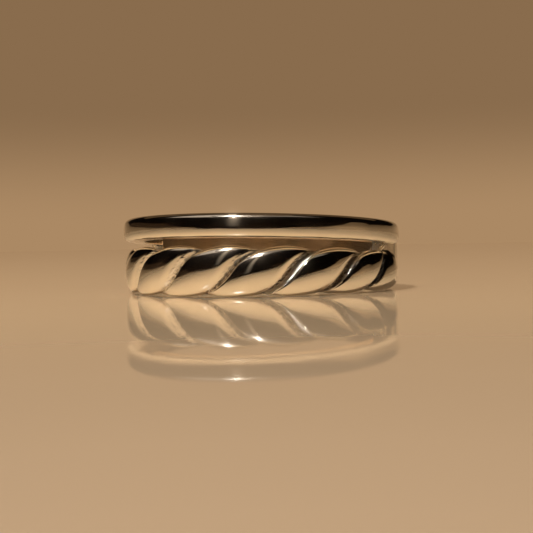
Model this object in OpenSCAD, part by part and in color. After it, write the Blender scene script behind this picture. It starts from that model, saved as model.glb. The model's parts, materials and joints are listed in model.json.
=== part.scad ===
// Rope twist ring: a plain domed band above a band of twisted lobes, with an open
// slit between them round the front and one solid shank round the back.
// Millimetres. The ring lies on its side: +Z is the finger's axis, z = 0 is the flat
// face it rests on, and the front is at -Y. Azimuths run from the front towards +X.

/* [Finger bore] */
// Diameter of the finger bore, about US ring size 7
bore_d = 17.3; // [14:0.1:23]

/* [Plain band] */
// Thickness of the plain band from the bore to its crown
plain_wall = 1.5; // [1.2:0.05:2.4]
// Height of the plain band
plain_h = 1.6; // [1.2:0.05:2.6]
// Radius of the crown, the gently domed outer face
plain_crown_r = 2.4; // [1.6:0.1:6]
// Radius that blends the crown into the upper and lower edges
plain_edge_r = 0.45; // [0.2:0.05:0.55]

/* [Rope band] */
// Thickness of the rope band from the bore to the middle of a lobe
rope_wall = 1.52; // [1.2:0.02:2.3]
// Height of the rope band at the front
rope_h = 3.45; // [2.6:0.05:4.6]
// How deep the outer face rounds over into the top and bottom of the rope band
rope_round = 0.55; // [0.3:0.05:0.7]
// How square that rounding is, 2 for an ellipse and more for a fuller section
rope_fullness = 2.4; // [2:0.1:4]
// Number of lobes
lobe_count = 11; // [8:1:18]
// Reach of the rope on each side of its middle, in degrees
rope_reach = 123; // [120:1:140]
// Turn of the rope's middle from the front, in degrees
rope_turn = 8; // [-10:0.5:10]
// Slant of the strands from the finger's axis, in degrees
strand_slant = 48; // [20:1:58]
// How much a groove flattens towards its ends, 0 for a straight one
strand_bow = 0.42; // [0:0.02:0.8]
// Drop of a lobe from its middle to the lip of a groove
lobe_swell = 0.2; // [0.05:0.01:0.3]
// Depth of a groove below its lips
groove_depth = 0.42; // [0.1:0.01:0.5]
// Width of a groove from lip to lip
groove_w = 0.8; // [0.4:0.05:1.2]
// Height of a lobe's end above the notches beside it
scallop_h = 0.32; // [0:0.02:0.5]

/* [Slit] */
// Height of the slit between the two bands
slit_h = 0.53; // [0.3:0.01:1.2]
// Reach of the slit on each side of its middle, in degrees
slit_reach = 91; // [70:1:95]
// Turn of the slit's middle from the front, in degrees
slit_turn = 6; // [-10:0.5:10]
// Tilt of the slit and the plain band, which makes the ring taller at the front
splay = 3.25; // [0:0.25:4]

/* [Shank] */
// Depth of the shank's outer face below the crown at the slit's ends
shank_relief = 0.22; // [0.12:0.01:0.5]
// The same at the back of the ring
back_relief = 0.06; // [0.04:0.01:0.1]
// Radius of the shank's lower outer edge
shank_edge_r = 0.8; // [0.3:0.05:1]
// How far the ends of the rope sink below the lobes, to run out under the shank
rope_sink = 0.7; // [0.55:0.05:0.9]
// Length of rope over which its ends sink, in degrees
rope_fade = 30; // [12:1:40]

/* [Hidden] */
$fn = 96;

// Material that stands past a cut before the cut is made, and a cutter's own excess
spare = 0.35;
beyond = 1;

// Depth of the rounding left at the bottom of a groove, and run of the slope from a
// lobe's upper end down to the level of the notches
notch_round = 0.1;
slope_run = 0.25;

bore_r = bore_d / 2;
crown_r = bore_r + plain_wall;
rope_r = bore_r + rope_wall;
rope_foot_r = rope_r - rope_round;
ring_h = rope_h + slit_h + plain_h;
slope = tan(splay);

// Heights where the tilted faces cross the finger's axis
notch_z = rope_h - scallop_h - crown_r * slope;
plain_foot_z = rope_h + slit_h - crown_r * slope;
plain_mid_z = plain_foot_z + plain_h / 2;

// A lobe takes this many degrees, and a groove covers this share of it
pitch = 2 * rope_reach / lobe_count;
groove_share = groove_w / (rope_r * pitch * PI / 180);
lean = (rope_h - 2 * scallop_h) * tan(strand_slant) / rope_r * 180 / PI;

// Columns across one lobe, as shares from groove to groove, and rows up its outer
// face, as degrees of its rounded section
lip = groove_share / 2;
lobe_columns = [0, lip / 2, lip, for (i = [1:8]) lip + (1 - 2 * lip) * i / 9, 1 - lip, 1 - lip / 2];
face_rows = [for (i = [0:14]) -90 + 180 * i / 14];

function smooth(x) = let (t = min(max(x, 0), 1)) t * t * (3 - 2 * t);
function power(x, p) = sign(x) * pow(abs(x), p);

// Height of the rope band's top at an azimuth
function rope_top(a) = rope_h - crown_r * slope * (1 - cos(a));

// How far the rope has sunk at an angle from its middle: 0 on the lobes, 1 at an end
function sunk(a) = smooth((abs(a) - rope_reach + rope_fade) / rope_fade);

// Drop of the surface across a lobe: its swell, and the V of the groove at each side
function relief(s) =
    let (edge = min(s, 1 - s))
    lobe_swell * pow(abs(2 * s - 1), 2) + groove_depth * max(0, 1 - edge / lip);

// Rise of a lobe's lower end, and drop of its upper end, towards the notches
function scallop(s) = scallop_h * pow(abs(2 * s - 1), 2);

// A point at a radius, azimuth and height
function at(r, a, z) = [r * sin(a), -r * cos(a), z];

// One column of the rope: up the rounded outer face, then inwards over the top and
// back down inside the bore, which is cut afterwards
function rope_column(a, s) =
    let (
        gone = sunk(a),
        crest = rope_r - relief(s) * (1 - gone) - rope_sink * gone,
        foot = min(rope_foot_r - rope_sink * gone, crest - notch_round),
        mid = a + rope_turn
    )
    concat(
        [at(foot, mid - lean / 2, -spare)],
        [for (p = face_rows)
            let (
                up = power(sin(p), 2 / rope_fullness),
                out = pow(cos(p), 2 / rope_fullness),
                shift = lean / 2 * ((1 - strand_bow) * up + strand_bow * pow(up, 3)),
                top = rope_top(mid + shift),
                half = top / 2 - scallop(s) * (1 - gone)
            )
            at(foot + (crest - foot) * out, mid + shift, top / 2 + half * up)],
        [let (over = mid + lean / 2) at(foot - slope_run, over, rope_top(over) - scallop_h)],
        [let (over = mid + lean / 2) at(bore_r - spare, over, rope_top(over) - scallop_h)],
        [at(bore_r - spare, mid - lean / 2, -spare)]
    );

rope_columns = concat(
    [for (k = [0:lobe_count - 1], s = lobe_columns) rope_column(-rope_reach + pitch * (k + s), s)],
    [rope_column(rope_reach, 0)]
);

// The rope band before the bore and the base are cut: columns joined into a strip
module rope_band() {
    rows = len(rope_columns[0]);
    last = len(rope_columns) - 1;
    polyhedron(
        points = [for (c = rope_columns) each c],
        faces = concat(
            [for (c = [0:last - 1], r = [0:rows - 1])
                let (q = c * rows + r, w = c * rows + (r + 1) % rows)
                each [[q, w, w + rows], [q, w + rows, q + rows]]],
            [[for (r = [rows - 1:-1:0]) r]],
            [[for (r = [0:rows - 1]) last * rows + r]]
        )
    );
}

// Section of the plain band: crown, edges that blend into it, and flat sides
module plain_section() {
    side = plain_h / 2;
    crown_x = crown_r - plain_crown_r;
    edge_y = side - plain_edge_r;
    edge_x = crown_x + sqrt(pow(plain_crown_r - plain_edge_r, 2) - pow(edge_y, 2));
    far = 2 * plain_crown_r / (edge_x - crown_x);
    translate([bore_r - spare, -side])
        square([edge_x - bore_r + spare, plain_h]);
    for (y = [-edge_y, edge_y])
        translate([edge_x, y])
            circle(plain_edge_r);
    intersection() {
        translate([crown_x, 0])
            circle(plain_crown_r);
        translate([crown_x, 0])
            polygon([[0, 0], [far * (edge_x - crown_x), -far * edge_y], [far * (edge_x - crown_x), far * edge_y]]);
    }
}

// The plain band, level in itself and tilted with the slit
module plain_band() {
    translate([0, 0, plain_mid_z])
        rotate([-splay, 0, 0])
            rotate_extrude()
                plain_section();
}

// The shank's barrel stands off the ring's axis towards the back, so that its outer
// face comes up from shank_relief at the slit's ends to back_relief at the back
module shank_barrel() {
    offset_y = (shank_relief - back_relief) / (1 + cos(slit_reach));
    barrel_r = crown_r - back_relief - offset_y;
    translate([0, offset_y, 0])
        rotate_extrude() {
            translate([0, shank_edge_r])
                square([barrel_r, ring_h]);
            translate([0, -spare])
                square([barrel_r - shank_edge_r, ring_h]);
            translate([barrel_r - shank_edge_r, shank_edge_r])
                circle(shank_edge_r);
        }
}

// Everything under the middle of the plain band, behind the slit's ends
module shank_room() {
    reach = 2 * crown_r;
    intersection() {
        translate([0, 0, -spare])
            rotate([0, 0, slit_turn + slit_reach - 90])
                rotate_extrude(angle = 360 - 2 * slit_reach)
                    square([reach, ring_h]);
        translate([0, 0, plain_mid_z])
            rotate([-splay, 0, 0])
                translate([-reach, -reach, -reach])
                    cube([2 * reach, 2 * reach, reach]);
    }
}

// The slit's round ends
module slit_ends() {
    for (a = [slit_turn - slit_reach, slit_turn + slit_reach])
        translate([0, 0, (notch_z + plain_foot_z) / 2 + crown_r * cos(a) * slope])
            rotate([0, 0, a - 90])
                rotate([0, 90, 0])
                    cylinder(h = 2 * crown_r, d = plain_foot_z - notch_z);
}

module shank() {
    difference() {
        intersection() {
            shank_barrel();
            shank_room();
        }
        slit_ends();
    }
}

// The finger's hole, cut through the bands and the shank alike
module finger_bore() {
    translate([0, 0, -beyond])
        cylinder(h = ring_h + 2 * beyond, r = bore_r, $fn = 200);
}

// Everything below the flat face that the ring rests on
module below_base() {
    translate([-2 * crown_r, -2 * crown_r, -beyond])
        cube([4 * crown_r, 4 * crown_r, beyond]);
}

module double_band_ring() {
    color([0.78, 0.75, 0.71])
        difference() {
            union() {
                rope_band();
                plain_band();
                shank();
            }
            finger_bore();
            below_base();
        }
}

double_band_ring();
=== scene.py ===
import json
import math

import bmesh
import bpy
import numpy as np
from mathutils import Matrix, Vector


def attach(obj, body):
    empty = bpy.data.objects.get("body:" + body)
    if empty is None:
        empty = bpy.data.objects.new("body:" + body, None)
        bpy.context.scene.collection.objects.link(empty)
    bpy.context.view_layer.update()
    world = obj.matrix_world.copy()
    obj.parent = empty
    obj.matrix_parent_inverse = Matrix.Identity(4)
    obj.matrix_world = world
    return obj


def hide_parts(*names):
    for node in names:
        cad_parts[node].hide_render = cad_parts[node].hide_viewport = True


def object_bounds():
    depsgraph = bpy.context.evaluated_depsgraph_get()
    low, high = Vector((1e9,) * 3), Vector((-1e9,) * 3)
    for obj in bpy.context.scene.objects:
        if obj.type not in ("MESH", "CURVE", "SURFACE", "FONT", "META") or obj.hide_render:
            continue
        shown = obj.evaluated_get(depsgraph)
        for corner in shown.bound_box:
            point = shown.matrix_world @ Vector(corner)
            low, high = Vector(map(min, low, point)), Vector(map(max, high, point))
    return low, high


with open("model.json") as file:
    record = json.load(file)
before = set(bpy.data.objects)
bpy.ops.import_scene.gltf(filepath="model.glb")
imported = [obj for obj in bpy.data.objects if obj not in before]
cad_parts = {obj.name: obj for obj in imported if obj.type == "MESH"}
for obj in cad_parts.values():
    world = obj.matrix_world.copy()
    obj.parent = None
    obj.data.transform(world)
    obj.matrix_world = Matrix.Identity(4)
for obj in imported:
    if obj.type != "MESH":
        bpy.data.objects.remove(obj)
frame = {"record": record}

# A silver ring that lies on its side: a plain domed band over a band of twisted lobes, an open slit
# between them round the front, and one shank that joins them round the back. Sizes are in
# millimetres and angles in degrees. Azimuths run round the finger's axis, from the front (-Y)
# towards +X, and +Z is the finger's axis.
cadLow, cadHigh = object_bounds()
mm = 0.001
boreMount = next(m for m in frame["record"]["mounts"] if m["name"] == "finger_bore")


# Small helpers

def linearColour(hexCode):  # sRGB hex to linear red, green, blue and alpha
    parts = [int(hexCode[i:i + 2], 16) / 255 for i in (0, 2, 4)]
    return [p / 12.92 if p <= 0.04045 else ((p + 0.055) / 1.055) ** 2.4 for p in parts] + [1.0]


def smoothStep(t):  # 0 below 0, 1 above 1, with 3t^2 - 2t^3 between
    t = np.clip(t, 0, 1)
    return t * t * (3 - 2 * t)


def blend(a, b, share):  # a where share is 0, b where it is 1
    return a + (b - a) * share


def softMax(a, b, width):  # the larger of two, with the corner between them rounded over width
    h = np.clip(0.5 + 0.5 * (a - b) / width, 0, 1)
    return b + (a - b) * h + width * h * (1 - h)


def around(radius, azimuth, height):  # cylinder coordinates to x, y, z, as one array
    a = np.radians(azimuth)
    return np.stack(np.broadcast_arrays(radius * np.sin(a), -radius * np.cos(a), height), axis=-1)


def grain(u, v, cell, seed):
    # Value noise from -1 to 1: random heights on a square lattice of the given cell, with smoothStep
    # between them. The lattice repeats after 512 cells.
    heights = np.random.default_rng(seed).uniform(-1, 1, (512, 512))
    p, q = np.broadcast_arrays(u / cell, v / cell)
    i, j = np.floor(p).astype(int), np.floor(q).astype(int)
    s, t = smoothStep(p - i), smoothStep(q - j)
    low = blend(heights[i % 512, j % 512], heights[(i + 1) % 512, j % 512], s)
    high = blend(heights[i % 512, (j + 1) % 512], heights[(i + 1) % 512, (j + 1) % 512], s)
    return blend(low, high, t)


def addNode(tree, kind, feeds=None, **settings):  # a node with its settings, values and links
    node = tree.nodes.new("ShaderNode" + kind)
    for name, value in settings.items():
        setattr(node, name, value)
    for name, value in (feeds or {}).items():
        if isinstance(value, bpy.types.NodeSocket):
            tree.links.new(value, node.inputs[name])
        else:
            node.inputs[name].default_value = value
    return node


def newMaterial(name):  # an empty node material and its output node
    material = bpy.data.materials.new(name)
    material.use_nodes = True
    material.node_tree.nodes.clear()
    return material, addNode(material.node_tree, "OutputMaterial")


def gridFaces(columns, rows, wrapColumns, wrapRows):
    # Quads of a grid whose point (c, r) has the number c * rows + r, as an array (column, row, 4)
    c = np.arange(columns if wrapColumns else columns - 1)[:, None]
    r = np.arange(rows if wrapRows else rows - 1)[None, :]
    c2, r2 = (c + 1) % columns, (r + 1) % rows
    corners = np.broadcast_arrays(c * rows + r, c2 * rows + r, c2 * rows + r2, c * rows + r2)
    return np.stack(corners, axis=-1)


def makePiece(name, points, quads, material, values=None):
    # A mesh from points in millimetres and quads. values holds a number for each point under a name.
    mesh = bpy.data.meshes.new(name)
    points, quads = points.reshape(-1, 3), quads.reshape(-1, 4)
    mesh.vertices.add(len(points))
    mesh.vertices.foreach_set("co", (points * mm).astype(np.float32).ravel())
    mesh.loops.add(quads.size)
    mesh.loops.foreach_set("vertex_index", quads.astype(np.int32).ravel())
    mesh.polygons.add(len(quads))
    mesh.polygons.foreach_set("loop_start", np.arange(0, quads.size, 4, dtype=np.int32))
    mesh.update(calc_edges=True)
    for key, numbers in (values or {}).items():
        layer = mesh.attributes.new(key, "FLOAT", "POINT")
        layer.data.foreach_set("value", numbers.astype(np.float32).ravel())
    mesh.polygons.foreach_set("use_smooth", np.ones(len(quads), bool))
    mesh.materials.append(material)
    piece = bpy.data.objects.new(name, mesh)
    bpy.context.scene.collection.objects.link(piece)
    return piece


# Materials

# Sterling silver, lost-wax cast and then polished by hand on a felt wheel. It is a clear mirror with
# faint wheel marks and a thin warm film of handling, which hazes the highlights. The wheel doesn't
# reach into the grooves, which keep the frosted, ribbed skin of the casting, and the bore is only
# satin finished. Real wheel marks and casting grain are finer: both are as coarse as they need to be
# to show in the render.
silver = {
    "colour": "EDEAE0", "inside": "EADDC9",          # polished outside, and satin in the bore
    "tarnishAndShade": "5E4228", "film": "FFE6CC",           # tarnish in the creases, darkened to paint their shade, and the film of handling
    "mirror": 0.05, "satin": 0.15, "skin": 0.5, "haze": 0.32,    # roughness of each finish
    "filmShare": 0.055, "smear": 2.5,                # how much the film covers, and its patches, mm
    "wheelMark": 0.035, "wheelDepth": 0.0007,        # spacing and depth of the wheel marks, mm
    "wheelRun": 0.12,                                # how far the marks are drawn out round the ring
    "rib": 0.16, "ribDepth": 0.09,                   # spacing and depth of the ribs in the grooves, mm
    "ribAcross": 0.35, "ribAlong": 1.3,              # scale of the ribs across and along a strand
    "grit": 0.07, "gritDepth": 0.035,                # size and depth of the casting's grain, mm
}


def silverMaterial():
    # The ring's attributes mix the finishes: mirror outside, cast skin in the grooves, satin in the
    # bore. Tarnish lies between the ribs of a groove, darkened further to paint the shade of the
    # creases, and the film comes and goes in patches.
    material, output = newMaterial("polishedSterlingSilver")
    tree = material.node_tree
    place = addNode(tree, "TexCoord").outputs["Object"]
    cast, raised, worn, deep, across, along = (
        addNode(tree, "Attribute", attribute_name=name).outputs["Fac"]
        for name in ("castSkin", "castRelief", "satin", "stainAndShade", "strandAcross", "strandAlong"))
    strand = addNode(tree, "CombineXYZ", {"X": across, "Y": along}).outputs[0]
    run = silver["wheelRun"]
    stretched = addNode(tree, "Mapping", {"Vector": place, "Scale": (run, run, 1)}).outputs[0]
    marks, haze, grit, ribs = (
        addNode(tree, "TexNoise", {
            "Vector": vector, "Scale": 1 / size, "Detail": 3, "Roughness": roughness}).outputs[0]
        for vector, size, roughness in (
            (stretched, silver["wheelMark"] * mm, 0.6), (place, silver["smear"] * mm, 0.5),
            (place, silver["grit"] * mm, 0.65), (strand, silver["rib"], 0.6)))

    mirror = addNode(tree, "MapRange", {
        "Value": haze, "From Min": 0.3, "From Max": 0.7,
        "To Min": silver["mirror"] * 0.7, "To Max": silver["mirror"] * 1.3}).outputs[0]
    outside = addNode(tree, "Mix", {
        "Factor": cast, "A": mirror, "B": silver["skin"]}, data_type="FLOAT").outputs[0]
    rough = addNode(tree, "Mix", {
        "Factor": worn, "A": outside, "B": silver["satin"]}, data_type="FLOAT").outputs[0]
    dirtAndShade = addNode(tree, "MapRange", {"Value": ribs, "From Min": 0.62, "From Max": 0.45}).outputs[0]
    stainAndShade = addNode(tree, "Math", {0: deep, 1: dirtAndShade}, operation="MULTIPLY").outputs[0]
    bare = addNode(tree, "Mix", {
        "Factor": worn, "A": linearColour(silver["colour"]), "B": linearColour(silver["inside"])},
        data_type="RGBA").outputs["Result"]
    # Tarnish darkens the colour where the stain mask is; it also paints the shade of the creases
    colour = addNode(tree, "Mix", {
        "Factor": stainAndShade, "A": bare, "B": linearColour(silver["tarnishAndShade"])},
        data_type="RGBA").outputs["Result"]

    # Wheel marks everywhere, and the ribs and the grit on top of them where the ring is in relief
    normal = addNode(tree, "Bump", {
        "Height": marks, "Strength": 1.0, "Distance": silver["wheelDepth"] * mm}).outputs[0]
    for pattern, depth in ((ribs, silver["ribDepth"]), (grit, silver["gritDepth"])):
        height = addNode(tree, "Math", {0: raised, 1: pattern}, operation="MULTIPLY").outputs[0]
        normal = addNode(tree, "Bump", {
            "Height": height, "Strength": 1.0, "Distance": depth * mm, "Normal": normal}).outputs[0]
    metal = addNode(tree, "BsdfPrincipled", {
        "Metallic": 1.0, "Base Color": colour, "Roughness": rough, "Normal": normal})
    film = addNode(tree, "BsdfPrincipled", {
        "Metallic": 1.0, "Base Color": linearColour(silver["film"]), "Roughness": silver["haze"],
        "Normal": normal})
    smear = addNode(tree, "MapRange", {
        "Value": haze, "From Min": 0.35, "From Max": 0.65,
        "To Min": 0.3 * silver["filmShare"], "To Max": 1.7 * silver["filmShare"]}).outputs[0]
    surface = addNode(tree, "MixShader", {0: smear, 1: metal.outputs[0], 2: film.outputs[0]})
    tree.links.new(surface.outputs[0], output.inputs["Surface"])
    return material


# The ring. The plain band is a D section that is revolved and tilted. The rope band is a column
# of points carried round the axis, which leans along the strands, and the shank's face is joined to
# both with a rounded corner.
plainBand = {
    "height": 1.599, "crown": 2.4,                     # height, and radius of the domed face
    "edge": 0.5, "lowEdge": 0.4,                       # radius of its upper and its lower edge
    "tilt": 3.25,                                      # rise of the band at the front, in degrees
    "wave": 0.004,                                     # depth of the waves that hand polishing leaves
}
ropeBand = {
    "wall": 1.5, "height": 3.45, "rounding": 0.83,     # section of the band
    "lobes": 11, "reach": 129, "turn": 8,              # lobes, and where the rope lies round the ring
    "slant": 54.5, "bow": 0.4,                         # slant of the strands and how far they flatten
    "swell": 0.26, "scallop": 0.32, "lowScallop": 0.2, # dome of a lobe, and the notches at its two ends
    "roll": 1.0,                                       # width of a lobe's round right flank
    "worn": 0.05,                                      # how much the base takes off the lobes' ends
    "sink": 0.7, "fade": 30,                           # how its ends run out under the shank
    "least": 0.05,                                     # least rise of a crease over the lobes' ends
    "step": 0.04,                                      # upright step between the base and a lobe
    "skin": 0.018, "skinCell": 0.17, "fineCell": 0.09, # relief of the cast skin, and its two sizes
    "beads": 0.045, "beadCell": 0.15,                  # relief and size of the beads in the creases
    # How far into a groove, from 0 to 1, each starts on the facet and on the roll
    "facetSkin": 0.1, "rollSkin": 0.45, "facetStainAndShade": 0.4, "rollStainAndShade": 0.45, "beadStart": 0.5,
    "startRamp": 4,
    # The grooves from the left. Each lies between the roll of a lobe and the next lobe's cut left
    # flank, its facet.
    "depths": [0.3, 0.3, 0.3, 0.3, 0.3, 0.3, 0.3, 0.42, 0.36, 0.3, 0.3],     # depth of the groove
    "facets": [0.4, 0.4, 0.4, 0.4, 0.34, 0.36, 0.26, 0.5, 0.46, 0.4, 0.4],   # width of the facet
    "pits": [0.35, 0.35, 0.35, 0.35, 0.35, 0.35, 0.35, 1, 0.8, 0.6, 0.6],    # how pitted the groove is
    "frost": [0.3, 0.3, 0.3, 0.3, 0.3, 0.3, 0.3, 0.75, 0.45, 0.4, 0.4],      # how rough the facet is
    "dirtAndShade": [1, 1, 1, 1, 1, 1, 1, 0.2, 0.8, 1, 1],                           # tarnish and painted crease shade on the facet
    "rollDirtAndShade": [0.1, 0.1, 0.1, 0.1, 0.1, 0.1, 0.1, 1, 1, 1, 1],             # tarnish and painted crease shade on the roll
    "rollFrost": 0.4,                                                        # how rough each roll is
}
slit = {
    "height": 0.53, "reach": 91, "turn": 6,            # height, and where it lies round the ring
    "slope": 0.25,                                     # how far in from its lip the floor is level
    "notchFade": 7,                                    # the notches run out over its last degrees
    "skinFrom": 4, "skinOver": 3,                      # and here its faces turn from satin to cast skin
}
shank = {
    "sideRelief": 0.22, "backRelief": 0.06,            # how far under the crown, by the slit and behind
    "edge": 0.8, "corner": 0.08,                       # radius of its lower edge and its inner corners
    "ramp": 8, "buried": 0.25,                         # degrees of run-out, and depth under the rope
}
boreEdge = 0.1                                         # rounding of the edges round the finger's hole
gridCount = {
    "groove": 16, "lobe": 32, "shank": 80, "slitEnd": 8,                # columns, round the ring
    "base": 6, "face": 64, "slit": 13, "bore": 5, "rounding": 3,        # rows, round a section
    "edge": 9, "crown": 18, "top": 5,
}
stepRows = np.array([0.1, 0.35, 0.65, 0.9])            # rows of the upright step, as shares of it
endColumns = {"span": 2.6, "power": 1.6, "clear": 0.09, "least": 0.05}  # spacing by the slit's ends

boreR = boreMount["dims"]["r_mm"]
crownR = (cadHigh.x - cadLow.x) / 2 / mm
ropeR = boreR + ropeBand["wall"]
footR = ropeR - ropeBand["rounding"]
slope = math.tan(math.radians(plainBand["tilt"]))
plainFoot = ropeBand["height"] + slit["height"] - crownR * slope
plainMid = plainFoot + plainBand["height"] / 2
pitch = 2 * ropeBand["reach"] / ropeBand["lobes"]
lobeWidth = ropeR * math.radians(pitch)
facetShares = np.array(ropeBand["facets"]) / lobeWidth     # the flanks as shares of a lobe
rollShare = ropeBand["roll"] / lobeWidth
leanRise = ropeBand["height"] - 2 * ropeBand["scallop"]
lean = math.degrees(leanRise * math.tan(math.radians(ropeBand["slant"])) / ropeR)
slitEnds = [slit["turn"] - slit["reach"], slit["turn"] + slit["reach"]]


def apart(azimuth, other):  # degrees between two azimuths, the short way round
    return np.abs((azimuth - other + 180) % 360 - 180)


def pastSlit(azimuth):  # degrees beyond the slit's nearer end, below 0 along the slit
    return apart(azimuth, slit["turn"]) - slit["reach"]


def ropeTop(azimuth):  # height of the rope band, which falls towards the back as the slit does
    return ropeBand["height"] - crownR * slope * (1 - np.cos(np.radians(azimuth)))


def shankCover(azimuth):  # 0 round the front, 1 where the shank is at its full thickness
    return smoothStep(pastSlit(azimuth) / shank["ramp"])


def notchCover(azimuth):  # 0 round the front, 1 at the slit's ends, where the notches have run out
    return smoothStep((pastSlit(azimuth) + slit["notchFade"]) / slit["notchFade"])


def shankFace(azimuth, height):
    # Radius of the shank's outer face: a barrel whose centre stands off towards the back, with its
    # lower edge rounded, and which runs out in a short ramp at each end of the slit
    offset = (shank["sideRelief"] - shank["backRelief"]) / (1 + math.cos(math.radians(slit["reach"])))
    barrel = crownR - shank["backRelief"] - offset
    a = np.radians(azimuth)
    radius = -offset * np.cos(a) + np.sqrt(barrel ** 2 - (offset * np.sin(a)) ** 2)
    under = np.clip(shank["edge"] - height, 0, shank["edge"])
    radius = radius - shank["edge"] + np.sqrt(shank["edge"] ** 2 - under ** 2)
    return blend(footR - shank["buried"], radius, shankCover(azimuth))


def ringColumns():
    # Azimuths of the columns from the rope's middle, sorted: close together in the grooves and at the
    # slit's ends, wide apart along the shank
    facet = facetShares.max()
    groove = np.linspace(-rollShare / 2, facet, gridCount["groove"] + 1)
    lobe = np.linspace(facet, 1 - rollShare / 2, gridCount["lobe"] + 1)[1:-1]
    shares = np.concatenate([groove, lobe])
    starts = -ropeBand["reach"] + pitch * np.arange(ropeBand["lobes"])
    rope = (starts[:, None] + pitch * shares).ravel()
    back = np.linspace(ropeBand["reach"] + pitch * facet, 360 - ropeBand["reach"] - pitch * facet,
                       gridCount["shank"] + 1)[1:-1]
    fixed = [end - ropeBand["turn"] - lean / 2 for end in slitEnds]
    steps = endColumns["span"] * np.linspace(0, 1, gridCount["slitEnd"])[1:] ** endColumns["power"]
    free = np.concatenate([rope, back, fixed[0] + steps, fixed[1] - steps]) % 360
    for end in fixed:
        free = free[apart(free, end) > endColumns["clear"]]
    free = np.sort(np.concatenate([free, np.array(fixed) % 360]))
    keep = np.concatenate([[True], np.diff(free) > endColumns["least"]])
    for end in fixed:
        keep |= np.abs(free - end % 360) < 1e-9
    return (free[keep] + 180) % 360 - 180


def plainSection():
    # The D section as (radius, height above its middle), from the slit face at the bore outwards, up
    # the crown, inwards over the top and down the bore. Also the rows where the crown starts and ends.
    side, crown = plainBand["height"] / 2, plainBand["crown"]
    crownX = crownR - crown

    def corner(edge):  # centre of an edge of that radius, and the angle where it meets the crown
        y = side - edge
        x = crownX + math.sqrt((crown - edge) ** 2 - y ** 2)
        return x, y, math.degrees(math.asin(y / (crown - edge)))

    def arc(x, y, radius, start, end, count):  # an arc about (x, y) between two angles
        a = np.radians(np.linspace(start, end, count + 1))
        return np.stack([x + radius * np.cos(a), y + radius * np.sin(a)], axis=1)

    def level(start, end, height, count):  # a level line, without its first point
        return np.stack([np.linspace(start, end, count + 1), np.full(count + 1, height)], 1)[1:]

    edge, lowEdge = plainBand["edge"], plainBand["lowEdge"]
    edgeX, edgeY, turn = corner(edge)
    lowX, lowY, lowTurn = corner(lowEdge)
    inner, rounding = boreR + boreEdge, gridCount["rounding"]
    under = np.concatenate([
        arc(inner, -side + boreEdge, boreEdge, 180, 270, rounding),
        level(inner, lowX, -side, gridCount["slit"] - rounding)])
    face = np.concatenate([
        arc(lowX, -lowY, lowEdge, -90, -lowTurn, gridCount["edge"])[1:],
        arc(crownX, 0, crown, -lowTurn, turn, gridCount["crown"])[1:],
        arc(edgeX, edgeY, edge, turn, 90, gridCount["edge"])[1:]])
    top = level(edgeX, inner, side, gridCount["top"])
    roll = arc(inner, side - boreEdge, boreEdge, 90, 180, rounding)[1:]
    down = np.linspace(side - boreEdge, -side + boreEdge, gridCount["bore"] + 1)
    bore = np.stack([np.full(len(down), boreR), down], 1)[1:-1]
    section = np.concatenate([under, face, top, roll, bore])
    return section, len(under), len(under) + len(face)


def tiltUp(points):  # turns the level plain band about X to its tilt and lifts it into place
    t = math.radians(plainBand["tilt"])
    x, y, z = points[..., 0], points[..., 1], points[..., 2]
    lifted = plainMid - y * math.sin(t) + z * math.cos(t)
    return np.stack([x, y * math.cos(t) + z * math.sin(t), lifted], -1)


def waves(azimuth, height, depth):
    # Long shallow waves of hand polishing, never proud of the true face: a few sines of the
    # azimuth and the height
    a = np.radians(azimuth)
    w = np.sin(9 * a + 1.1 * height) + 0.7 * np.sin(17 * a - 2.3 * height + 1)
    w = w + 0.5 * np.sin(31 * a + 3 * height + 2)
    return -depth * (1.1 + 0.5 * w)


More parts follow.
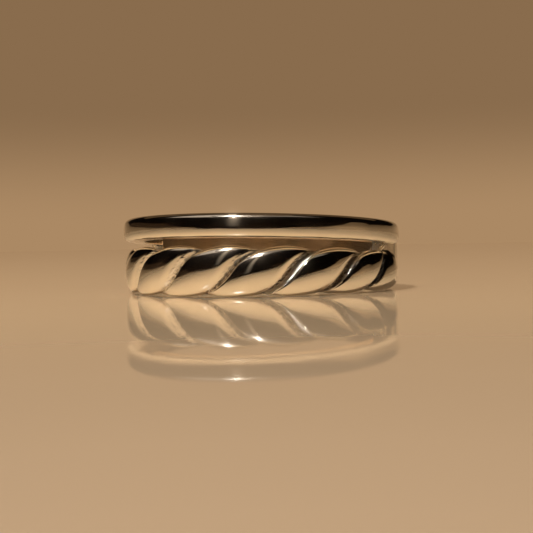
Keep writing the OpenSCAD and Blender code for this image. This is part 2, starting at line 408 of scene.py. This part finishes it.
def makeRing(material):
    # Two closed tubes of points, upper and lower, which share the line where they part and are
    # joined along it wherever the slit isn't
    column = ringColumns()
    count = len(column)
    topAz = column + ropeBand["turn"] + lean / 2
    lowAz = column + ropeBand["turn"] - lean / 2
    past = pastSlit(topAz)
    endR = math.degrees((slit["height"] + ropeBand["scallop"]) / 2 / footR)
    run = np.clip(1 + past / endR, 0, 1)
    closing = 1 - np.sqrt(1 - run ** 2)       # 0 along the slit, a quarter round up to 1 at its ends
    shut = past > -1e-6

    # Upper tube, with the shank's face joined on below
    section, faceStart, faceEnd = plainSection()
    radius = np.broadcast_to(section[:, 0], (count, len(section))).copy()
    level = np.broadcast_to(section[:, 1], (count, len(section))).copy()
    az = np.broadcast_to(topAz[:, None], radius.shape)
    wallHeight = plainMid + level + crownR * slope * np.cos(np.radians(az))
    rows = np.arange(len(section))
    outer = (rows >= faceStart - 1) & (rows < faceEnd)
    middle = smoothStep((radius - footR) / (crownR - footR))
    radius = radius + np.where(outer, waves(az, level, plainBand["wave"]) * middle, 0)
    joined = softMax(radius, shankFace(az, wallHeight), shank["corner"])
    radius = np.where(outer & (level < 0) & (past[:, None] > 0), joined, radius)
    upper = tiltUp(around(radius, az, level))

    # The tilt makes its bore oval, so those points go back to the radius of the section
    onBore = section[:, 0] < boreR + boreEdge + 1e-6
    trueR = np.broadcast_to(section[:, 0], radius.shape)
    fitted = np.where(onBore, trueR / np.hypot(upper[..., 0], upper[..., 1]), 1.0)
    upper[..., :2] *= fitted[..., None]
    cornerIn = tiltUp(around(boreR, topAz, -plainBand["height"] / 2))
    cornerIn[:, :2] *= (boreR / np.hypot(cornerIn[:, 0], cornerIn[:, 1]))[:, None]
    upper[:, 0] = blend(upper[:, 0], cornerIn, closing[:, None])
    slitFace = upper[:, :faceStart][:, ::-1]       # the slit's upper face, from its lip to the bore

    # Lower tube: base, outer face, slit face, bore. First each column's place on the rope.
    span = (column + ropeBand["reach"]) % 360 / pitch
    share = np.where(span < ropeBand["lobes"], span % 1, 0)
    rightHalf = share > 0.5                        # of a lobe, where its roll is
    lobeAt = np.clip(span, 0, len(facetShares) - 1).astype(int)
    grooveAt = np.clip(np.floor(span + 0.5), 0, len(facetShares) - 1).astype(int)
    gone = smoothStep((apart(column, 0) - ropeBand["reach"] + ropeBand["fade"]) / ropeBand["fade"])
    onFacet = np.clip(1 - share / facetShares[lobeAt], 0, 1)
    onRoll = np.clip(1 - (1 - share) / rollShare, 0, 1)
    inGroove = np.maximum(onFacet, onRoll) * (1 - gone)       # 0 outside a groove, 1 in its crease

    def perGroove(name):  # each column's number from one of the rope's lists
        return np.array(ropeBand[name])[grooveAt]

    def startingAt(start):  # 0 outside that depth into a groove, 1 a ramp's width further in
        return smoothStep((inGroove - start) * ropeBand["startRamp"])

    offCentre = np.abs(2 * share - 1) ** 2         # 0 in the middle of a lobe, 1 at its sides
    endwise = offCentre * (1 - gone)
    drop = ropeBand["swell"] * offCentre + perGroove("depths") * (onFacet + onRoll ** 2)
    foot = footR - ropeBand["sink"] * gone
    crest = np.maximum(ropeR - drop * (1 - gone) - ropeBand["sink"] * gone, foot + ropeBand["least"])

    # The ends of a lobe's elliptic face: the lower one is past the base, which cuts it off
    worn = ropeBand["worn"] * (1 - offCentre) * (1 - gone)
    notches = (ropeBand["scallop"] + ropeBand["lowScallop"]) * endwise
    lowest = -1 + 2 * worn / (ropeBand["height"] - notches + worn)
    p = blend(np.arcsin(lowest)[:, None], math.pi / 2, np.linspace(0, 1, gridCount["face"])[None, :])
    up = np.sin(p)
    turned = lean / 2 * ((1 - ropeBand["bow"]) * up + ropeBand["bow"] * up ** 3)
    faceAz = column[:, None] + ropeBand["turn"] + turned
    highEnd = ropeTop(faceAz) - ropeBand["scallop"] * endwise[:, None] * (1 - notchCover(faceAz))
    lowEnd = ropeBand["step"] + ropeBand["lowScallop"] * endwise[:, None] * (1 - shankCover(faceAz))
    half = (highEnd - lowEnd) / (1 - lowest[:, None])
    middleZ = highEnd - half
    openZ = middleZ + half * up
    stretch = closing[:, None] * (1 + up) / 2
    z = blend(openZ, openZ + (slitFace[:, 0, 2][:, None] - highEnd), stretch)
    bulge = np.sqrt(np.clip(1 - ((z - middleZ) / half) ** 2, 0, 1))
    rope = foot[:, None] + (crest - foot)[:, None] * bulge

    # The cast skin in the grooves, its beads, and the waves of polishing
    arcLength = np.radians(faceAz) * ropeR
    coarse = grain(arcLength, z, ropeBand["skinCell"], 3)
    skin = coarse + 0.6 * grain(arcLength, z, ropeBand["fineCell"], 5)
    nearCrease = startingAt(np.where(rightHalf, ropeBand["rollSkin"], ropeBand["facetSkin"]))
    rough = nearCrease[:, None] * (1 - stretch) * (1 - shankCover(faceAz))
    beads = grain(arcLength, z, ropeBand["beadCell"], 7) * startingAt(ropeBand["beadStart"])[:, None]
    rope = rope + (ropeBand["skin"] * skin + ropeBand["beads"] * beads) * rough * bulge
    rope = rope + waves(faceAz, z, plainBand["wave"]) * bulge
    face = softMax(rope, shankFace(faceAz, z), shank["corner"])
    face = around(face, faceAz, z)
    face[:, -1] = blend(face[:, -1], slitFace[:, 0], closing[:, None])

    # The base: the bore's rounded edge, the flat, and the upright step under the lobes' ends
    baseOut = np.hypot(face[:, 0, 0], face[:, 0, 1])
    rollAngle = np.radians(np.linspace(180, 270, gridCount["rounding"] + 1))
    rollR = boreR + boreEdge + boreEdge * np.cos(rollAngle)
    rollZ = boreEdge + boreEdge * np.sin(rollAngle)
    flat = np.linspace(0, 1, gridCount["base"])[None, 1:]
    rolledR, rolledZ = (np.broadcast_to(part, (count, len(part))) for part in (rollR, rollZ))
    baseR = np.concatenate([rolledR, blend(rollR[-1], baseOut[:, None], flat)], axis=1)
    baseZ = np.concatenate([rolledZ, np.zeros((count, flat.shape[1]))], axis=1)
    outwards = smoothStep((baseR - boreR) / (baseOut[:, None] - boreR))
    base = around(baseR, blend(lowAz[:, None], faceAz[:, :1], outwards), baseZ)
    wall = np.repeat(face[:, :1], len(stepRows), axis=1)
    wall[..., 2] *= stepRows
    base = np.concatenate([base, wall], axis=1)

    # The slit's lower face, which falls from the scalloped lip to the floor of the notches
    notch = ropeTop(topAz) - ropeBand["scallop"]
    lipR = np.hypot(face[:, -1, 0], face[:, -1, 1])
    inward = np.linspace(0, 1, gridCount["slit"] - gridCount["rounding"] + 1)[None, 1:]
    slitR = np.concatenate([blend(lipR[:, None], boreR + boreEdge, inward), rolledR[:, -2::-1]], axis=1)
    fall = smoothStep((lipR[:, None] - slitR) / slit["slope"])
    slitZ = blend(highEnd[:, -1:], notch[:, None], fall)
    slitZ[:, -gridCount["rounding"]:] -= rolledZ[:, -2::-1]
    floorOfSlit = around(slitR, topAz[:, None], slitZ)
    floorOfSlit = blend(floorOfSlit, slitFace[:, 1:], closing[:, None, None])

    down = np.linspace(0, 1, gridCount["bore"] + 1)[None, 1:-1]
    boreAz = blend(topAz[:, None], lowAz[:, None], down)
    bore = around(boreR, boreAz, blend(floorOfSlit[:, -1, 2:], base[:, 0, 2:], down))

    lower = np.concatenate([base, face, floorOfSlit, bore], axis=1)
    slitRow = base.shape[1] + face.shape[1] - 1
    slitLast = slitRow + floorOfSlit.shape[1]
    lower[shut, slitRow] = upper[shut, faceStart - 1]
    lower[shut, slitLast] = upper[shut, 0]

    # Faces: the slit's two faces are left out where the ring is joined
    bothShut = (shut & np.roll(shut, -1))[:, None]
    lowQuads = gridFaces(count, lower.shape[1], True, True)
    lowRows = np.arange(lower.shape[1])
    lowKeep = ~(bothShut & (lowRows >= slitRow) & (lowRows < slitLast))
    highQuads = gridFaces(count, upper.shape[1], True, True)
    highKeep = ~(bothShut & (rows < faceStart - 1))
    quads = np.concatenate([lowQuads[lowKeep], highQuads[highKeep] + lower.shape[0] * lower.shape[1]])
    points = np.concatenate([lower.reshape(-1, 3), upper.reshape(-1, 3)])

    # The finish at each point. The grooves are frosted, pitted and tarnished, the tarnish also painting
    # the shade of the creases, and the bore and the slit's faces are satin, apart from the slit's ends,
    # where the cast skin is left.
    faceRows = slice(base.shape[1], slitRow + 1)
    slitRows = slice(slitRow + 2, slitLast)
    skinMask, relief, stainAndShade, satin, across, along = (np.zeros(lower.shape[:2]) for _ in range(6))
    frost = np.where(rightHalf, ropeBand["rollFrost"], perGroove("frost"))
    dirtAndShade = np.where(rightHalf, perGroove("rollDirtAndShade"), perGroove("dirtAndShade"))
    tarnishedAndShaded = startingAt(np.where(rightHalf, ropeBand["rollStainAndShade"], ropeBand["facetStainAndShade"]))
    skinMask[:, faceRows] = rough * frost[:, None]
    relief[:, faceRows] = rough * perGroove("pits")[:, None]
    stainAndShade[:, faceRows] = (tarnishedAndShaded * dirtAndShade)[:, None] * (1 - shankCover(faceAz))
    across[:, faceRows] = column[:, None] * math.radians(ropeR) * silver["ribAcross"]
    along[:, faceRows] = z * silver["ribAlong"]
    atEnd = smoothStep((past + slit["skinFrom"]) / slit["skinOver"])[:, None]
    satin[:, slitRow + 2:] = 1
    satin[:, :2] = 1
    satin[:, slitRows] = 1 - atEnd
    skinMask[:, slitRows] = atEnd
    satinRows = (rows < faceStart - 2) | (rows >= faceEnd + gridCount["top"] + 1)
    satinAbove = np.broadcast_to(satinRows.astype(float), upper.shape[:2])
    nothing = np.zeros(upper.shape[:2])
    values = {name: np.concatenate([low.ravel(), high.ravel()]) for name, low, high in (
        ("castSkin", skinMask, nothing), ("castRelief", relief, nothing), ("stainAndShade", stainAndShade, nothing),
        ("satin", satin, satinAbove),
        ("strandAcross", across, nothing), ("strandAlong", along, nothing))}
    ring = makePiece("ropeTwistRing", points, quads, material, values)

    # Both tubes are welded along the line that they share
    work = bmesh.new()
    work.from_mesh(ring.data)
    bmesh.ops.remove_doubles(work, verts=work.verts, dist=0.0005 * mm)
    bmesh.ops.dissolve_degenerate(work, edges=work.edges, dist=0.0002 * mm)
    bmesh.ops.delete(work, geom=[v for v in work.verts if not v.link_faces], context="VERTS")
    bmesh.ops.recalc_face_normals(work, faces=work.faces)
    if work.calc_volume(signed=True) < 0:
        bmesh.ops.reverse_faces(work, faces=work.faces)
    openEdges = sum(not e.is_manifold for e in work.edges)
    triangles = sum(len(f.verts) - 2 for f in work.faces)
    volume = work.calc_volume() / mm ** 3
    work.to_mesh(ring.data)
    work.free()
    print(f"ring: {triangles} triangles, {openEdges} open edges, {volume:.1f} mm3")
    return ring


silverFinish = silverMaterial()
ring = makeRing(silverFinish)
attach(ring, "root")
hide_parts("double_band_ring")


# Stage: a warm glossy board, a low backdrop behind it, dark air in front, one small key lamp, and a few
# dim cards that the metal mirrors. Azimuths here count from the camera's own, to its right.

view = {
    "azimuth": 32, "distance": 74, "height": 3.68,       # where the camera stands, from the ring, mm
    "focal": 67.2, "sensor": 36, "near": 1, "far": 3000,
    "pitch": 1.509, "yaw": 0.259, "roll": 1.1,
}
board = {
    # shaded is the colour of the lens's painted shadow on the front of the board
    "colour": "DABA93", "shaded": "BFA384", "ior": 1.42, "radius": 500,
    "roughness": 0.03, "gloss": 0.5,                     # its coat, as the camera sees it
    "mirrored": 0.1, "mirroredGloss": 1.0,               # and as the metal sees it, a little duller
    "mottle": 40,                                        # size of the clouds in the coat, mm
    "near": 52,                                          # how far the metal sees it before the lens
    "lens": (-57, 22, 30, 24),                           # the lens: two azimuths with their soft widths
    "lower": 0.002,                                      # how far the metal's board lies under the other
    "pool": 0.16, "poolRadius": 9.5, "poolWidth": 3.5,   # a painted pool of light, for the light that the ring casts back on it
    "shadeFrom": 12, "shadeTo": 74,                      # where the painted shadow of the lens darkens it
    "glossFrom": 64, "glossTo": 130,                     # where its gloss ends, for the other views
}
backdrop = {
    "low": "AB8964", "high": "896C4D", "fadeFrom": 14, "fadeTo": 82, "tall": 260,
    "topDim": 0.35, "dimWithin": 158, "dimFade": 20,     # its mirrored top is dimmer, but not behind
}
room = {  # dark air, and a dim wall behind the camera's left
    "air": "040201", "colour": "E0A878", "glow": 0.032, "span": (-150, 20, -62, 25), "high": 11,
}
lamp = {  # the key lamp, which the metal and the board mirror
    "azimuth": -36, "elevation": 63, "distance": 300, "size": 22, "power": 0.76, "colour": "FFFCF7",
    "bowl": 14, "bowlWidth": 4.5, "bowlGlow": 6, "bowlRim": 0.1, "behind": 8,    # its reflector
}
soft = {  # a large soft lamp, which the metal doesn't mirror
    "azimuth": -90, "elevation": 75, "distance": 420, "size": 260, "power": 0.36, "colour": "FFFCF7",
}
overhead = {"high": 74, "radius": 330, "glow": 0.55, "colour": "FFEAD6"}
streak = {  # light on the stand that holds the strip
    "azimuth": -22, "half": 9, "low": 2, "high": 56, "radius": 320, "glow": 0.5, "colour": "FFE6CB",
}
ceiling = {"front": 74, "back": 30, "radius": 450, "glow": 0.08, "colour": "FFC98F"}
bloomLook = {"Threshold": 1.0, "Clamp": True, "Maximum": 6.0, "Strength": 0.3, "Size": 0.06}
stageGrid = {"round": 361, "out": 40, "up": 21, "partRound": 65, "partUp": 17, "bowlRound": 49,
             "bowlOut": 25}

# The strip light overhead: azimuth, its lower edge there, and its light
stripShape = np.array([
    [-104, 40, 0], [-94, 42, 0.8], [-60, 46, 0.85], [-38, 50, 1], [-15, 50, 0.6], [5, 60, 0.3],
    [40, 60, 0.35], [60, 56, 0.35], [82, 54, 0]])

# What the metal mirrors low round the board: azimuth, how high it reaches there (degrees), and its light
# as a share of the backdrop's
skyline = np.array([
    [-180, 26, 1.0], [-161, 26, 1.0], [-152, 11, 0.7], [-138, 5.2, 0.5], [-117, 4, 0.42],
    [-101, 2.8, 0.4], [-89, 1.3, 0.4], [-68, 1.7, 0.42], [-57, 0.2, 0.45], [-54, 0, 0.45],
    [28, 0, 0.5], [39, 1, 0.5], [48, 1.8, 0.52], [57, 4, 0.6], [67, 7.8, 0.75], [79, 15.5, 0.75],
    [92, 16, 0.58], [99, 9.6, 0.5], [116, 8.4, 0.5], [134, 7, 0.55], [150, 12, 0.8], [161, 26, 1.0],
    [180, 26, 1.0]])


def toCamera(azimuth):  # azimuth round the ring of one that is given from the camera's own
    return view["azimuth"] + azimuth


def onDome(azimuth, elevation, radius):  # points of a sphere about the ring
    rise = np.radians(elevation)
    return around(radius * np.cos(rise), toCamera(azimuth), radius * np.sin(rise))


def domePatch(azimuths, elevations, radius):  # a grid on that sphere between two pairs of angles
    azimuth = np.linspace(*azimuths, stageGrid["partRound"])[:, None]
    return onDome(azimuth, np.linspace(*elevations, stageGrid["partUp"])[None, :], radius)


def between(azimuth, start, startWidth, end, endWidth):  # 1 between two azimuths, 0 beyond them
    return smoothStep((azimuth - start) / startWidth) * smoothStep((end - azimuth) / endWidth)


def boardMaterial(name, roughness, specular):
    # Lacquered card, printed one warm colour: matt pigment under a clear glossy coat, with the lens's
    # shadow painted in as a darker colour towards the front. Far in front, where only the other views
    # look, it runs dull and darker into the backdrop's foot.
    material, output = newMaterial(name)
    tree = material.node_tree
    place = addNode(tree, "TexCoord").outputs["Object"]
    ahead = addNode(tree, "VectorMath", {0: place, 1: around(1, toCamera(0), 0)},
                    operation="DOT_PRODUCT").outputs["Value"]
    gloss, shade, far = (
        addNode(tree, "MapRange", {
            "Value": ahead, "From Min": start * mm, "From Max": end * mm, "To Min": low, "To Max": high},
            interpolation_type="SMOOTHSTEP").outputs[0]
        for start, end, low, high in (
            (board["glossFrom"], board["glossTo"], specular, 0),
            (board["shadeFrom"], board["shadeTo"], 0, 1),
            (board["glossFrom"], board["glossTo"], 0, 1)))
    mottle = addNode(tree, "TexNoise", {
        "Vector": place, "Scale": 1 / (board["mottle"] * mm), "Detail": 2}).outputs[0]
    rough = addNode(tree, "MapRange", {
        "Value": mottle, "To Min": roughness * 0.7, "To Max": roughness * 1.4}).outputs[0]
    # Painted shadow of the lens: the colour turns to shaded towards the front
    near = addNode(tree, "Mix", {
        "Factor": shade, "A": linearColour(board["colour"]), "B": linearColour(board["shaded"])},
        data_type="RGBA").outputs["Result"]
    colour = addNode(tree, "Mix", {
        "Factor": far, "A": near, "B": linearColour(backdrop["low"])},
        data_type="RGBA").outputs["Result"]
    # glow paints a pool of light round the ring, on the metal's board only
    glow = addNode(tree, "Attribute", attribute_name="glow").outputs["Fac"]
    card = addNode(tree, "BsdfPrincipled", {
        "Base Color": colour, "Roughness": rough, "IOR": board["ior"], "Specular IOR Level": gloss,
        "Emission Color": colour, "Emission Strength": glow})
    tree.links.new(card.outputs[0], output.inputs["Surface"])
    return material


def glowMaterial(name, low, high=None, heights=(0, 1), strength=1.0):
    # Light of one colour that turns to another between two heights, times the glow of the point
    material, output = newMaterial(name)
    tree = material.node_tree
    place = addNode(tree, "TexCoord").outputs["Object"]
    height = addNode(tree, "SeparateXYZ", {"Vector": place}).outputs["Z"]
    rise = addNode(tree, "MapRange", {
        "Value": height, "From Min": heights[0] * mm, "From Max": heights[1] * mm},
        interpolation_type="SMOOTHSTEP").outputs[0]
    colour = addNode(tree, "Mix", {
        "Factor": rise, "A": linearColour(low), "B": linearColour(high or low)},
        data_type="RGBA").outputs["Result"]
    glow = addNode(tree, "Attribute", attribute_name="glow").outputs["Fac"]
    power = addNode(tree, "Math", {0: glow, 1: strength}, operation="MULTIPLY").outputs[0]
    light = addNode(tree, "Emission", {"Color": colour, "Strength": power})
    tree.links.new(light.outputs[0], output.inputs["Surface"])
    return material


def stagePiece(name, points, material, glow=1.0, cameraSees=True, metalSees=True, lights=True):
    # A sheet of the stage with a glow at each point, which some kinds of ray pass by
    glows = np.broadcast_to(glow, points.shape[:2])
    faces = gridFaces(points.shape[0], points.shape[1], False, False)
    piece = makePiece(name, points, faces, material, {"glow": glows})
    piece.visible_camera = cameraSees
    piece.visible_glossy = metalSees
    piece.visible_diffuse = lights
    piece.visible_shadow = False
    return piece


# The board: one for the camera, and one for the metal, which sees no board behind the dark lens and
# has a duller coat, where the lamp's reflection is wide enough to be found
card = boardMaterial("lacqueredCard", board["roughness"], board["gloss"])
mirroredCard = boardMaterial("lacqueredCardMirrored", board["mirrored"], board["mirroredGloss"])
turns = np.linspace(-180, 180, stageGrid["round"])[:, None]
nearReach = 1 / blend(1 / board["radius"], 1 / board["near"], between(turns, *board["lens"]))
shares = np.linspace(0, 1, stageGrid["out"])[None, :] ** 1.6
boardPoints = around(board["radius"] * shares, toCamera(turns), 0)
stagePiece("boardSeen", boardPoints, card, 0, metalSees=False, lights=False)
boardPoints = around(nearReach * shares, toCamera(turns), -board["lower"])
# A painted pool of light round the ring, which glows on the metal's board
fromPool = (nearReach * shares - board["poolRadius"]) / board["poolWidth"]
poolGlow = board["pool"] * np.exp(-fromPool ** 2)
stagePiece("boardMirrored", boardPoints, mirroredCard, poolGlow, cameraSees=False, lights=False)

# The backdrop as the camera sees it, and the low sweep that the metal mirrors
paper = glowMaterial("backdropPaper", backdrop["low"], backdrop["high"],
                     (backdrop["fadeFrom"], backdrop["fadeTo"]))
heights = np.linspace(0, 1, stageGrid["up"])[None, :]
paperPoints = around(board["radius"] - 1, toCamera(turns), backdrop["tall"] * heights)
stagePiece("backdropSeen", paperPoints, paper, metalSees=False, lights=False)
skyTop, skyLight = (np.interp(turns, skyline[:, 0], skyline[:, i]) for i in (1, 2))
skyHeight = board["radius"] * np.tan(np.radians(skyTop)) * heights
skyPoints = around(board["radius"], toCamera(turns), skyHeight)
notBehind = smoothStep((backdrop["dimWithin"] - np.abs(turns)) / backdrop["dimFade"])
skyGlow = skyLight * (1 - backdrop["topDim"] * heights * notBehind)
stagePiece("backdropMirrored", skyPoints, paper, skyGlow, cameraSees=False)
leftSide = np.linspace(room["span"][0], room["span"][2], stageGrid["partRound"])[:, None]
leftTop = board["radius"] * math.tan(math.radians(room["high"])) * between(leftSide, *room["span"])
dimGlow = glowMaterial("dimRoom", room["colour"], strength=room["glow"])
stagePiece("roomBehindLeft", around(board["radius"] + 1, toCamera(leftSide), leftTop * heights), dimGlow,
           cameraSees=False)

# Dim lights that the camera doesn't see: a strip overhead, its stand and the ceiling
stripGlow = glowMaterial("stripLight", overhead["colour"], strength=overhead["glow"])
stripTurns = np.linspace(stripShape[0, 0], stripShape[-1, 0], stageGrid["partRound"])[:, None]
stripLow, stripLight = (np.interp(stripTurns, stripShape[:, 0], stripShape[:, i]) for i in (1, 2))
stripRise = blend(stripLow, overhead["high"], np.linspace(0, 1, stageGrid["partUp"]))
stagePiece("overheadStrip", onDome(stripTurns, stripRise, overhead["radius"]), stripGlow, stripLight,
           cameraSees=False)
streakGlow = glowMaterial("standLight", streak["colour"], strength=streak["glow"])
standSides = (streak["azimuth"] - streak["half"], streak["azimuth"] + streak["half"])
standPoints = domePatch(standSides, (streak["low"], streak["high"]), streak["radius"])
standAcross = np.sin(np.linspace(0, math.pi, stageGrid["partRound"]))[:, None] ** 4
standUp = np.linspace(0.25, 1, stageGrid["partUp"]) ** 1.4
stagePiece("lightStand", standPoints, streakGlow, standAcross * standUp, cameraSees=False)
ceilingGlow = glowMaterial("ceiling", ceiling["colour"], strength=ceiling["glow"])
for name, azimuths, low in (("ceilingTop", (-180, 180), ceiling["front"]),
                            ("ceilingBack", (128, 232), ceiling["back"])):
    stagePiece(name, domePatch(azimuths, (low, 90), ceiling["radius"]), ceilingGlow, cameraSees=False)


def addLamp(name, look):  # a round lamp that faces the ring, from its dictionary
    data = bpy.data.lights.new(name, "AREA")
    data.shape = "DISK"
    data.size = look["size"] * mm
    data.energy, data.color = look["power"], linearColour(look["colour"])[:3]
    light = bpy.data.objects.new(name, data)
    light.location = Vector(onDome(look["azimuth"], look["elevation"], look["distance"])) * mm
    light.rotation_mode = "QUATERNION"
    light.rotation_quaternion = light.location.to_track_quat("Z", "Y")
    bpy.context.scene.collection.objects.link(light)
    return light


addLamp("keyLamp", lamp)
addLamp("softLamp", soft).visible_glossy = False

# The lamp's reflector, behind it: glow by the angle from the lamp's middle, brightest there
rings = np.linspace(0, 1, stageGrid["bowlOut"])[None, :] * lamp["bowl"]
spin = np.radians(np.linspace(0, 360, stageGrid["bowlRound"]))[:, None, None]
swing = math.radians(toCamera(lamp["azimuth"]))
lampSide = np.array([math.cos(swing), math.sin(swing), 0])
toLamp = onDome(lamp["azimuth"], lamp["elevation"], 1)
offAxis = np.cos(spin) * lampSide + np.sin(spin) * np.cross(lampSide, toLamp)
bowl = (toLamp + np.tan(np.radians(rings))[..., None] * offAxis) * (lamp["distance"] + lamp["behind"])
bowlGlow = np.exp(-(rings / lamp["bowlWidth"]) ** 2)
bowlGlow = bowlGlow + lamp["bowlRim"] * np.clip(1 - rings / lamp["bowl"], 0, 1)
reflector = glowMaterial("lampBowl", lamp["colour"], strength=lamp["bowlGlow"])
stagePiece("lampBowl", bowl, reflector, bowlGlow, cameraSees=False, lights=False)

world = bpy.data.worlds.new("darkRoom")
world.use_nodes = True
world.node_tree.nodes["Background"].inputs["Color"].default_value = linearColour(room["air"])
scene = bpy.context.scene
scene.world = world
scene.view_settings.view_transform = "Standard"

# The bloom that a lens adds round a highlight too bright for the picture
scene.use_nodes = True
scene.node_tree.nodes.clear()
taken = scene.node_tree.nodes.new("CompositorNodeRLayers")
bloom = scene.node_tree.nodes.new("CompositorNodeGlare")
shown = scene.node_tree.nodes.new("CompositorNodeComposite")
bloom.glare_type = "BLOOM"
bloom.inputs["Tint"].default_value = linearColour("FFE9D2")
for name, value in bloomLook.items():
    bloom.inputs[name].default_value = value
scene.node_tree.links.new(taken.outputs["Image"], bloom.inputs["Image"])
scene.node_tree.links.new(bloom.outputs["Image"], shown.inputs["Image"])
print("stage: board, backdrop, lights")

# Camera: low over the board, just under the slit's height, turned a little to frame the ring
cameraData = bpy.data.cameras.new("camera")
cameraData.lens, cameraData.sensor_width = view["focal"], view["sensor"]
cameraData.clip_start, cameraData.clip_end = view["near"] * mm, view["far"] * mm
camera = bpy.data.objects.new("camera", cameraData)
camera.location = Vector(around(view["distance"], view["azimuth"], view["height"])) * mm
turn = (Matrix.Rotation(math.radians(view["azimuth"] - view["yaw"]), 4, "Z")
        @ Matrix.Rotation(math.radians(90 - view["pitch"]), 4, "X")
        @ Matrix.Rotation(math.radians(-view["roll"]), 4, "Z"))
camera.rotation_mode = "QUATERNION"
camera.rotation_quaternion = turn.to_quaternion()
scene.collection.objects.link(camera)
scene.camera = camera
